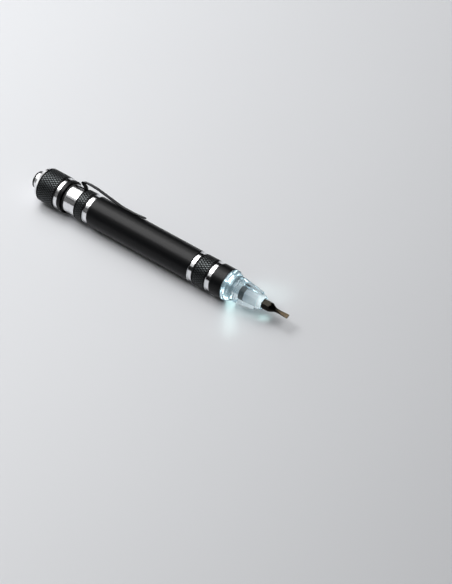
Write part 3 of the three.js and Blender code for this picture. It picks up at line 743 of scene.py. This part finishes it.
def makeRearCollar():
    rear, front = span("rear_collar")
    ringEnd = ringRear + rearCollar["ringLength"]
    barrelRear = ringEnd + rearCollar["groove"]
    bandEnd = barrelRear - rings["bandStop"]
    neck = rearCollar["neckRadius"]
    corners = [
        (rear, rearCollar["bore"], softEdge),
        (rear, rearCollar["threadRadius"], rearCollar["endEdge"]),
        (neckRear, rearCollar["threadRadius"], 0),
        (neckRear, neck, rearCollar["neckEdge"]),
        (ringRear, neck, fineEdge),
        *knurledEdge(ringRear, ringEnd, bodyRadius),
        (ringEnd, grooveFloor, grooveEdge),
        (bandEnd, grooveFloor, 0),
        (barrelRear, grooveFloor, 0),
        (barrelRear, rearCollar["plugRadius"], 0),
        (front, rearCollar["plugRadius"], rearCollar["endEdge"]),
        (front, rearCollar["bore"], softEdge),
    ]

    def isBright(x, r):
        onNeck = neckRear - slack < x < ringRear + slack / 2 and r > rearCollar["threadRadius"] + skin
        inGroove = ringEnd - knurl["chamfer"] < x < bandEnd and r > rearCollar["plugRadius"] + skin
        return int(onNeck or inGroove)

    collar = turnPiece("rearCollarShell", corners, blackAndBright, isBright)
    cutPiece(collar, makeClipSlot())
    finishPiece(collar, "barrel", "black_anodised", "rear_collar")
    knurlBand("rearRingKnurl", "barrel", ringRear, ringEnd, bodyRadius, rings["pointsAround"])
    print("rear collar made")


def makeClipSlot():
    half = clip["thickness"] / 2 + clip["slotGap"]
    across = clip["width"] / 2 + clip["slotGap"]
    low = rearCollar["neckRadius"] - clip["footDepth"] - clip["slotGap"]
    high = rearCollar["neckRadius"] + clip["slotTop"]
    corners = ((low, -across), (low, across), (high, across), (high, -across))
    ends = (clipFoot - half, clipFoot + half)
    sections = [[clipPoint(x, r, a) for r, a in corners] for x in ends]
    return loftPiece("clipSlot", sections, ())


def roundPath(corners, steps=6):
    # an open line of x, radius and rounding, with each inner corner made a curve
    points = [Vector(corners[0][:2])]
    for before, here, after in zip(corners, corners[1:], corners[2:]):
        reach = here[2]
        points += curve(Vector(before[:2]), Vector(here[:2]), Vector(after[:2]), reach, reach, steps)
    points.append(Vector(corners[-1][:2]))
    return points


def clipPath():
    neck = rearCollar["neckRadius"]
    top = bodyRadius + clip["rise"]
    contact = bodyRadius + clip["contactGap"] + clip["thickness"] / 2
    leg = roundPath([
        (clipFoot, neck - clip["footDepth"], 0),
        (clipFoot, neck + clip["knee"], clip["kneeRounding"]),
        (clipFold, top - 2 * clip["foldRadius"], 0),
    ])
    fold = []
    reach = clip["foldRadius"]
    for step in range(1, clip["foldSteps"]):
        angle = math.pi * step / clip["foldSteps"]
        fold.append(Vector((clipFold - reach * math.sin(angle), top - reach * (1 + math.cos(angle)))))
    arm = roundPath([
        (clipFold, top, 0),
        (clipFold + clip["humpReach"], top + clip["hump"], clip["humpRounding"]),
        (clipFold + clip["contactReach"], contact, clip["bendRounding"]),
        (clipFold + clip["flareReach"], contact, clip["bendRounding"]),
        (clipFold + clip["length"], contact + clip["flare"], 0),
    ], clip["armSteps"])
    return leg + fold + arm


def makeClip():
    path = clipPath()
    tip = path[-1]
    edge = clip["edge"]
    thick = clip["thickness"] / 2
    rounding = clip["tipRounding"]
    fine = []
    for before, after in zip(path, path[1:]):
        pieces = clip["tipSteps"] if after is tip else 1
        fine += [before.lerp(after, i / pieces) for i in range(pieces)]
    fine.append(tip)
    sections = []
    for i, point in enumerate(fine):
        heading = (fine[min(i + 1, len(fine) - 1)] - fine[max(i - 1, 0)]).normalized()
        normal = Vector((-heading.y, heading.x))
        onArm = i > len(fine) / 2
        fromTip = tip.x - point.x if onArm else rounding
        short = max(0, rounding - fromTip) / rounding
        along = max(0, point.x - clipFold) / clip["length"] if onArm else 0
        width = clip["width"] + (clip["tipWidth"] - clip["width"]) * along
        half = width / 2 - rounding * (1 - math.sqrt(max(0, 1 - short * short)))
        outline = [
            (-half + edge, -thick), (half - edge, -thick), (half, -thick + edge), (half, thick - edge),
            (half - edge, thick), (-half + edge, thick), (-half, thick - edge), (-half, -thick + edge),
        ]
        section = []
        for across, up in outline:
            spot = point + normal * up
            section.append(clipPoint(spot.x, spot.y, across))
        sections.append(section)
    strip = loftPiece("clipStrip", sections, (finish["clipSteel"],), sharpAngle=40)
    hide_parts("clip_root", "clip_arm")
    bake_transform(strip)
    print("clip made")


def makeTailSeal():
    rear, front = span("tail_seal")
    bore = rearCollar["threadRadius"] + rearCollar["sealGap"]
    outside = rearCollar["neckRadius"] - rearCollar["sealGap"]
    rounding = rearCollar["sealRounding"]
    corners = [(rear, bore, 0), (rear, outside, rounding), (front, outside, rounding), (front, bore, 0)]
    seal = turnPiece("tailSealRing", corners, (finish["sealRubber"],))
    finishPiece(seal, "barrel", "rubber", "tail_seal")
    print("tail seal made")


makeRearCollar()
makeTailSeal()
makeClip()


# barrel
barrel = {"bore": 5.99, "chamfer": 0.14}


def makeBarrel():
    rear, front = span("barrel")
    chamfer = barrel["chamfer"]
    corners = [
        (rear, barrel["bore"], fineEdge),
        (rear, bodyRadius - chamfer, 0),
        (rear + chamfer, bodyRadius, 0),
        (front - chamfer, bodyRadius, 0),
        (front, bodyRadius - chamfer, 0),
        (front, barrel["bore"], fineEdge),
    ]

    def isBright(x, r):
        return int(x > front - chamfer and r > barrel["bore"] + skin)

    tube = turnPiece("barrelTube", corners, blackAndBright, isBright)
    finishPiece(tube, "barrel", "black_anodised", "barrel")
    print("barrel made")


makeBarrel()


# front collar: groove, knurled ring, groove and nose ring
frontCollar = {
    "spigotRadius": 5.89,
    "spigotLength": 5,
    "groove": 2.2,
    "ringLength": 7.1,
    "noseBore": 5.6,
    "noseDepth": 6.25,  # down to the light board's shoulder
    "bore": 4.33,
    "lipBore": 3.53,
    "lip": 1.2,
    "sealSetback": 1.5,
    "sealHalf": 0.55,
    "sealFloor": 4.84,
    "endEdge": 0.3,
    "noseEdge": 0.14,
}


def makeFrontCollar():
    rear, front = span("front_collar")
    shoulder = rear + frontCollar["spigotLength"]
    ringStart = shoulder + frontCollar["groove"]
    ringEnd = ringStart + frontCollar["ringLength"]
    noseRing = ringEnd + frontCollar["groove"]
    spigot = frontCollar["spigotRadius"]
    sealMiddle = shoulder - frontCollar["sealSetback"]
    sealHalf = frontCollar["sealHalf"]
    boardSeat = front - frontCollar["noseDepth"]
    bandStop = rings["bandStop"]
    corners = [
        (rear, frontCollar["lipBore"], softEdge),
        (rear, spigot, frontCollar["endEdge"]),
        (sealMiddle - sealHalf, spigot, fineEdge),
        (sealMiddle - sealHalf, frontCollar["sealFloor"], 0),
        (sealMiddle + sealHalf, frontCollar["sealFloor"], 0),
        (sealMiddle + sealHalf, spigot, fineEdge),
        (shoulder, spigot, 0),
        (shoulder, grooveFloor, 0),
        (ringStart - bandStop, grooveFloor, 0),
        (ringStart, grooveFloor, grooveEdge),
        *knurledEdge(ringStart, ringEnd, bodyRadius),
        (ringEnd, grooveFloor, grooveEdge),
        (noseRing - bandStop, grooveFloor, 0),
        (noseRing, grooveFloor, grooveEdge),
        (noseRing, bodyRadius - knurl["chamfer"], 0),
        (noseRing + knurl["chamfer"], bodyRadius, 0),
        (front, bodyRadius, frontCollar["noseEdge"]),
        (front, frontCollar["noseBore"], fineEdge),
        (boardSeat, frontCollar["noseBore"], 0),
        (boardSeat, frontCollar["bore"], 0),
        (rear + frontCollar["lip"], frontCollar["bore"], 0),
        (rear + frontCollar["lip"], frontCollar["lipBore"], 0),
    ]

    def isBright(x, r):
        outside = r > spigot + skin
        first = shoulder - slack < x < ringStart - bandStop
        second = ringEnd - knurl["chamfer"] < x < noseRing - bandStop
        return int(outside and (first or second))

    collar = turnPiece("frontCollarShell", corners, blackAndBright, isBright)
    finishPiece(collar, "front_collar", "black_anodised", "front_collar")
    knurlBand("frontRingKnurl", "front_collar", ringStart, ringEnd, bodyRadius, rings["pointsAround"])
    print("front collar made")


makeFrontCollar()


# clear nose: a round flange and cone that run into a tapered hex body, with a hex socket and lamp pockets
nose = {
    "plugRadius": 5.55,
    "plugLength": 4,
    "flange": 1.5,
    "coneEnd": 4.8,
    "rootFlat": 4.96,  # half across the hex body's flats
    "frontFlat": 3.74,
    "tipFlat": 2.62,
    "tipLength": 2.5,
    "tipShoulder": 3.05,
    "edge": 0.1,  # bevel of the plug and of the flange
    # from the flange's front and the hex body's ends: along the pen, change of radius, share of a hexagon
    "flangeProfile": ((-0.3, 0, 0), (0, -0.15, 0), (0.12, -0.55, 0), (1.2, -0.72, 0), (1.34, -1, 0)),
    "rootProfile": ((-0.5, 0.62, 0.1), (-0.1, 0.4, 0.25), (0.15, 0, 1)),
    "frontProfile": ((-0.2, 0.02, 1), (0.1, -0.08, 1)),
    "tipHexShare": 0.9,
    "tipStep": 0.6,  # from the hex body's front to the tip's shoulder
    "mouthBevel": (0.15, 0.1),
    "cornerCut": 0.985,  # corners turned back to this share of their radius
    "socketFlat": 2.1,
    "socketDepth": 11.15,
    "socketSkin": 0.4,  # faces this close round the socket are its walls
    "pocketRadius": 1.62,
    "pocketDepth": 3.55,
    "pocketSides": 32,
    "cutPast": 1,  # how far a cutter stands out of the plastic
    "lampCircle": 3.6,
    "lamps": 3,
    "segments": 96,
}
bitRoll = math.radians(15)  # of the bit in use and its socket, -y side down


def fromFlat(angle):
    # the turn from the nearest of six directions, the first of them straight up
    return (angle + math.pi / 6) % (math.pi / 3) - math.pi / 6


def noseSection(x, radius, hexShare):
    # a ring between a circle and a hexagon whose corners are turned back
    points = []
    for angle in turnsOf(nose["segments"]):
        # a corner of the hex body is straight up, so a flat is a twelfth of a turn on
        toFlat = abs(abs(fromFlat(angle)) - math.pi / 6)
        hexRadius = min(radius / math.cos(toFlat), nose["cornerCut"] * radius / math.cos(math.pi / 6))
        points.append(penPoint(x, radius + (hexRadius - radius) * hexShare, angle))
    return points


def hexCutter(half, *stations):
    corner = half / math.cos(math.pi / 6)
    turns = [bitRoll + math.pi / 6 + i * math.pi / 3 for i in range(6)]
    sections = [[penPoint(x, corner, turn) for turn in turns] for x in stations]
    return loftPiece("socketCut", sections, ())


def lampCutter(rear, front, turn):
    middleY = -nose["lampCircle"] * math.sin(turn)
    middleZ = nose["lampCircle"] * math.cos(turn) + axisHeight
    reach = nose["pocketRadius"]
    turns = turnsOf(nose["pocketSides"])
    ring = [(middleY + reach * math.cos(a), middleZ + reach * math.sin(a)) for a in turns]
    sections = [[Vector((x, y, z)) * mm for y, z in ring] for x in (rear, front)]
    return loftPiece("lampCut", sections, ())


def stationsFrom(start, radius, profile):
    return [(start + along, radius + change, share) for along, change, share in profile]


def makeNose():
    plugRear, front = span("nose_socket")
    rear = plugRear + nose["plugLength"]
    flangeRadius = turnedRadius("nose_socket")
    flangeEnd = rear + nose["flange"]
    tip = front - nose["tipLength"]
    bodyStart = rear + nose["coneEnd"]
    plug = nose["plugRadius"]
    edge = nose["edge"]
    tipShare = nose["tipHexShare"]
    bevel, bevelRise = nose["mouthBevel"]
    stations = [
        (plugRear, plug - edge, 0),
        (plugRear + edge, plug, 0),
        (rear - slack / 2, plug, 0),
        (rear, plug, 0),
        (rear, flangeRadius - edge, 0),
        (rear + edge, flangeRadius, 0),
        *stationsFrom(flangeEnd, flangeRadius, nose["flangeProfile"]),
        *stationsFrom(bodyStart, nose["rootFlat"], nose["rootProfile"]),
        *stationsFrom(tip, nose["frontFlat"], nose["frontProfile"]),
        (tip + nose["tipStep"], nose["tipShoulder"], tipShare),
        (front - bevel, nose["tipFlat"] + bevelRise, tipShare),
        (front, nose["tipFlat"], tipShare),
    ]
    sections = [noseSection(*station) for station in stations]
    finishes = (makeClearPlastic(), makeSocketFrost(), finish["magnetPaintedShade"])
    clear = loftPiece("clearNose", sections, finishes, sharpAngle=24)
    socketFloor = front - nose["socketDepth"]
    magnetShadeEnd = span("socket_magnet")[1]
    past = nose["cutPast"]
    pocketEnd = plugRear + nose["pocketDepth"]
    cutters = [hexCutter(nose["socketFlat"], socketFloor, magnetShadeEnd, front + past)]
    for turn in turnsOf(nose["lamps"]):
        cutters.append(lampCutter(plugRear - past, pocketEnd, turn))
    cutPiece(clear, *cutters)
    for face in clear.data.polygons:
        x, y, z = face.center / mm
        reach = math.hypot(y, z - axisHeight)
        inSocket = socketFloor < x < front - edge and reach < nose["socketFlat"] + nose["socketSkin"]
        # the socket's wall beside the magnet takes the painted shade, the wall ahead of it the frost
        face.material_index = (2 if x < magnetShadeEnd else 1) if inSocket else 0
    finishPiece(clear, "front_collar", "clear_plastic", "nose_socket")
    print("clear nose made")


makeNose()


# bit in use: hex shank, taper, round shaft and flat blade
driverBit = {
    "flats": 4,
    "shank": 12.5,
    "taper": 1.8,
    "shaft": 3,
    "shaftRadius": 1,
    "bladeWidth": 1.9,
    "bladeThickness": 0.45,
    "chamfer": 0.35,
    "endBevel": 0.1,
    # along the pen, squareness, and half width and half height over the shaft's radius
    "shaftProfile": ((0, 2, 1.08, 1.08), (0.6, 2, 0.94, 0.92)),  # from the shaft's start
    "waistProfile": ((-0.6, 2.3, 0.82, 0.74), (0.5, 3.4, 0.84, 0.58)),  # from the blade's start
    "bladeLength": 1.2,
    "bladeRoot": 0.75,  # half thickness at the blade's root, over its thickness
    "rootSquareness": 7,
    "edgeSquareness": 9,
    "edgeLength": 0.06,
    "edgeBreak": 0.05,
    "segments": 48,
}


def bitSection(x, outline):
    # the outline gives y and z for a turn; all of them roll with the bit
    points = []
    for turn in turnsOf(driverBit["segments"]):
        y, z = outline(turn)
        turnedY = y * math.cos(bitRoll) - z * math.sin(bitRoll)
        turnedZ = y * math.sin(bitRoll) + z * math.cos(bitRoll)
        points.append(Vector((x, turnedY, turnedZ + axisHeight)) * mm)
    return points


def hexSection(x, half, corner):
    def outline(angle):
        radius = min(half / math.cos(fromFlat(angle)), corner)
        return radius * math.sin(angle), radius * math.cos(angle)

    return bitSection(x, outline)


def boxSection(x, squareness, width, height):
    # an ellipse at squareness 2, and more of a box above it
    def stretch(reach, value):
        return reach * math.copysign(abs(value) ** (2 / squareness), value)

    def outline(angle):
        return stretch(width, math.sin(angle)), stretch(height, math.cos(angle))

    return bitSection(x, outline)


def shaftSections(start, profile):
    r = driverBit["shaftRadius"]
    return [boxSection(start + along, squareness, r * w, r * h) for along, squareness, w, h in profile]


def makeDriverBit():
    rear, front = span("driver_bit")
    half = driverBit["flats"] / 2
    corner = half / math.cos(math.pi / 6)
    chamfer = driverBit["chamfer"]
    shankEnd = rear + driverBit["shank"]
    shaftStart = shankEnd + driverBit["taper"]
    bladeStart = shaftStart + driverBit["shaft"]
    wide = driverBit["bladeWidth"] / 2
    thick = driverBit["bladeThickness"] / 2
    root = driverBit["bladeThickness"] * driverBit["bladeRoot"]
    square = driverBit["edgeSquareness"]
    broken = driverBit["edgeBreak"]
    sections = [
        hexSection(rear, half - driverBit["endBevel"], corner - chamfer),
        hexSection(rear + chamfer, half, corner),
        hexSection(shankEnd - chamfer, half, corner),
        hexSection(shankEnd, half, half),
        *shaftSections(shaftStart, driverBit["shaftProfile"]),
        *shaftSections(bladeStart, driverBit["waistProfile"]),
        boxSection(front - driverBit["bladeLength"], driverBit["rootSquareness"], wide, root),
        boxSection(front - driverBit["edgeLength"], square, wide, thick),
        boxSection(front, square, wide - broken, thick - broken),
    ]
    bit = loftPiece("driverBitBlade", sections, (makeDriverSteel(),), sharpAngle=18)
    finishPiece(bit, "driver_bit", "bit_steel", "driver_bit")
    print("driver bit made")


makeDriverBit()


# coil springs
springs = {"wire": 0.4, "pitch": 1.1, "stepsPerTurn": 28, "sides": 8}


def buildSpringTree():
    tree, given = newTree(
        "coilSpring",
        float=("Turns", "Radius", "Length", "Wire Radius", "Start", "Axis Height"),
        int=("Steps Per Turn", "Sides"),
        material=("Material",),
    )
    helix = node(
        tree, "GeometryNodeCurveSpiral", resolution=given["Steps Per Turn"], rotations=given["Turns"],
        startRadius=given["Radius"], endRadius=given["Radius"], height=given["Length"])
    section = node(
        tree, "GeometryNodeCurvePrimitiveCircle", resolution=given["Sides"], radius=given["Wire Radius"])
    wire = node(
        tree, "GeometryNodeCurveToMesh", curve=helix.outputs["Curve"],
        profileCurve=section.outputs["Curve"], fillCaps=True)
    place = node(tree, "ShaderNodeCombineXYZ", x=given["Start"], z=given["Axis Height"])
    laid = node(
        tree, "GeometryNodeTransform", geometry=wire.outputs["Mesh"],
        translation=place.outputs["Vector"], rotation=(0, math.pi / 2, 0))
    smooth = node(tree, "GeometryNodeSetShadeSmooth", geometry=laid.outputs["Geometry"])
    realized = node(tree, "GeometryNodeRealizeInstances", geometry=smooth.outputs["Geometry"])
    dressed = node(
        tree, "GeometryNodeSetMaterial", geometry=realized.outputs["Geometry"], material=given["Material"])
    node(tree, "NodeGroupOutput", geometry=dressed.outputs["Geometry"])
    return tree


def makeSprings():
    tree = buildSpringTree()
    wire = springs["wire"] * mm
    for name, body in (
        ("button_spring", "switch_cartridge"),
        ("battery_spring", "switch_cartridge"),
        ("contact_spring", "barrel"),
        ("rod_spring", "bit_rack"),
    ):
        low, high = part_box(name)
        length = high.x - low.x - wire
        piece = growPiece(name.split("_")[0] + "Coil", tree, {
            "Turns": length / mm / springs["pitch"],
            "Radius": (high.y - low.y - wire) / 2,
            "Length": length,
            "Wire Radius": wire / 2,
            "Start": low.x + wire / 2,
            "Axis Height": axisHeight * mm,
            "Steps Per Turn": springs["stepsPerTurn"],
            "Sides": springs["sides"],
            "Material": finish["springWire"],
        })
        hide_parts(name)
        if name == "button_spring":  # the button's spring is left on no body, where it stands
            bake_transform(piece)
        else:
            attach(piece, body)
    print("springs made")


makeSprings()


# pieces that keep the CAD's shape: a merged copy of the node, smoothed and given its finish
def dressNode(name, slot, material):
    source = frame["nodes"][name]
    built = bmesh.new()
    built.from_mesh(source.data)
    first, *others = name.split("_")
    pieceName = first + "".join(word.capitalize() for word in others) + "Piece"
    piece = meshPiece(pieceName, built, (material,), merge=1e-6)
    finishPiece(piece, source["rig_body"], slot, name)


def dressInside():
    slots = {row["node"]: row["material_slot"] for row in frame["record"]["subparts"]}
    finishes = {
        "greyMoulding": ("switch_plunger", "cell_sleeve", "contact_guide", "bit_rack"),
        "blackMoulding": ("switch_housing", "resistor"),
        "turnedBrass": ("switch_ring", "contact_pin", "contact_rod"),
        "cellNickel": ("cell_1", "cell_2", "cell_3"),
        "springWire": ("rack_retainer",),
        "sealRubber": ("front_seal",),
        "boardWhite": ("led_board",),
        "magnetNickel": ("socket_magnet",),
        "lampGlow": ("led_1", "led_2", "led_3"),
        "bitSteel": (
            "bit_slotted_2", "bit_slotted_3", "bit_cross_000", "bit_cross_00",
            "bit_cross_1", "bit_star_6", "bit_star_8", "bit_hex_1_5",
        ),
    }
    for look, names in finishes.items():
        for name in names:
            dressNode(name, slots[name], finish[look])
    print("inside dressed")


dressInside()


# floor: it meets the bottom of the tail cap and of the nose ring, so it leans a little under the level pen
floor = {
    "half": 2500,
    "colour": (0.656, 0.666, 0.687),
    "shade": 0.97,  # of the darker patches, over the colour
    "patches": (even, 3, 2),
    "rough": 0.55,
}


def makeFloor():
    touchRear = span("tail_cap")[0] + tailCap["bevel"] + tailCap["knurlLength"]
    touchFront = span("front_collar")[1]
    slope = (turnedRadius("tail_cap") - bodyRadius) / (touchFront - touchRear)
    half = floor["half"]
    built = bmesh.new()
    corners = ((-half, -half), (half, -half), (half, half), (-half, half))
    built.faces.new([built.verts.new(Vector((x, y, (x - touchRear) * slope)) * mm) for x, y in corners])
    material, surface = newMaterial("studioFloor")
    patches = objectNoise(surface.id_data, *floor["patches"])
    dark = [floor["shade"] * c for c in floor["colour"]]
    fill(surface, baseColor=ramp(patches, dark, floor["colour"]), roughness=floor["rough"])
    ground = meshPiece("studioFloor", built, (material,))
    print("floor made")


makeFloor()


# light: a dim sky that darkens towards the horizon, four soft boxes hung over the pen's tail side, two cards
lights = {
    "sky": (0.03, 0.14),  # at the horizon and overhead
    "skyRise": (0.05, 0.6),  # heights between which it goes from one to the other
    "softBoxes": {
        "overhead": dict(place=(-450, -60, 800), size=(600, 750), power=10),
        "backOverhead": dict(place=(-450, 500, 800), size=(600, 370), power=1.7),
        "backStrip": dict(place=(-450, 850, 800), size=(600, 220), power=0.8),
        "frontOverhead": dict(place=(-450, -780, 800), size=(600, 690), power=0.9),
        "tailCard": dict(place=(-1500, 0, 420), size=(2200, 840), power=6.4, faces=(1, 0, 0)),
        "lowCard": dict(place=(-1175, -1300, 450), size=(650, 800), power=0.25, faces=(0.55, 0.83, 0)),
    },
}


def areaLamp(name, place, turn, width, depth, power):
    data = bpy.data.lights.new(name, "AREA")
    data.shape = "RECTANGLE"
    data.size = width
    data.size_y = depth
    data.energy = power
    lamp = addObject(name, data)
    lamp.location = place
    lamp.rotation_mode = "QUATERNION"
    lamp.rotation_quaternion = turn
    return lamp


def makeSoftBox(name, place, size, power, faces=None):
    # hangs level and shines down, or stands and faces the given way
    turn = Vector(faces).to_track_quat("-Z", "Y") if faces else Quaternion()
    areaLamp(name, Vector(place) * mm, turn, size[0] * mm, size[1] * mm, power)


# the light that leaves the nose and falls on the floor beside it
glow = {
    "colour": (0.7, 1.0, 0.95),
    "patches": {
        "flangeGlow": dict(start=(40.2, -1.8, 1.1), end=(51.5, -17.5, 5), width=4.2, power=0.00014),
        "flangeFoot": dict(start=(39.6, -1.2, 1), end=(43.6, -6.4, 1.8), width=3.6, power=0.00003),
        "tipGlow": dict(start=(55.6, -2.4, 2), end=(58.8, 0.2, 2.3), width=2.8, power=0.000032),
        "tipHalo": dict(start=(46, -5, 2.2), end=(57, -1.4, 2.4), width=5, power=0.00004),
        "farGlow": dict(start=(43, 11.5, 4.5), end=(58, 15, 6), width=8, power=0.0001),
    },
}


def makeGlow():
    collar = frame["bodies"]["front_collar"]
    bpy.context.view_layer.update()
    for name, patch in glow["patches"].items():
        start = Vector(patch["start"]) * mm
        end = Vector(patch["end"]) * mm
        run = end - start
        turn = run.to_track_quat("X", "Z")
        lamp = areaLamp(name, (start + end) / 2, turn, run.length, patch["width"] * mm, patch["power"])
        lamp.data.color = glow["colour"]
        lamp.parent = collar
        lamp.matrix_parent_inverse = collar.matrix_world.inverted()
    print("glow made")


def makeLights():
    world = bpy.data.worlds.new("softSky")
    bpy.context.scene.world = world
    world.use_nodes = True
    tree = world.node_tree
    place = node(tree, "ShaderNodeTexCoord")
    split = node(tree, "ShaderNodeSeparateXYZ", vector=place.outputs["Generated"])
    rise = mapRange(split.outputs["Z"], *lights["skyRise"], *lights["sky"])
    rise.interpolation_type = "SMOOTHSTEP"
    fill(tree.nodes["Background"], strength=rise.outputs["Result"])
    for name, settings in lights["softBoxes"].items():
        makeSoftBox(name, **settings)
    print("lights made")


makeGlow()
makeLights()
bpy.context.scene.view_settings.view_transform = "Standard"
